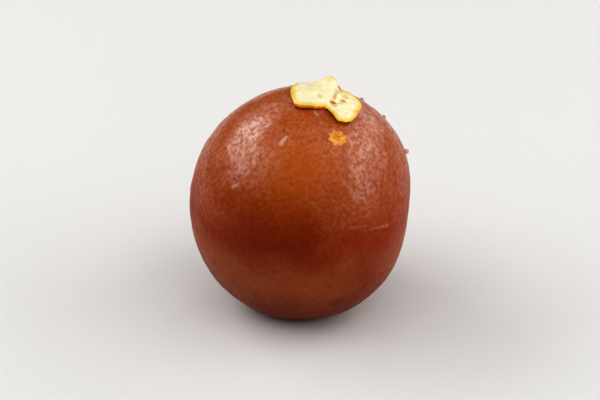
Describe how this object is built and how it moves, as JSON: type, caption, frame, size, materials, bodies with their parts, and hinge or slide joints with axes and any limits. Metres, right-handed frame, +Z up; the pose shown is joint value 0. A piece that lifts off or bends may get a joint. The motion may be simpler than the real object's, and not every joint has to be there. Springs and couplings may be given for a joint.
{
  "type": "gulab jamun",
  "caption": "Round deep-fried milk sweet soaked in syrup, with smooth brown skin, a small flat foot and a torn crumpled piece of edible gold leaf on its crown.",
  "frame": {"origin": "centre of the bounding box in X and Y, at the height of the surface that the ball rests on", "axes": "+Z up through the crown, -Y towards the side shown in the picture, +X to the right as seen from there"},
  "size_m": [0.0428, 0.0438, 0.0457],
  "materials": {
    "fried_skin": "soft fried milk dough with a thin brown skin, moist and softly glossy from sugar syrup",
    "gold_leaf": "edible gold leaf, crumpled and torn, satin bright"
  },
  "bodies": {
    "root": {"gulab_jamun": "fried_skin", "gold_leaf": "gold_leaf"}
  },
  "joints": []
}
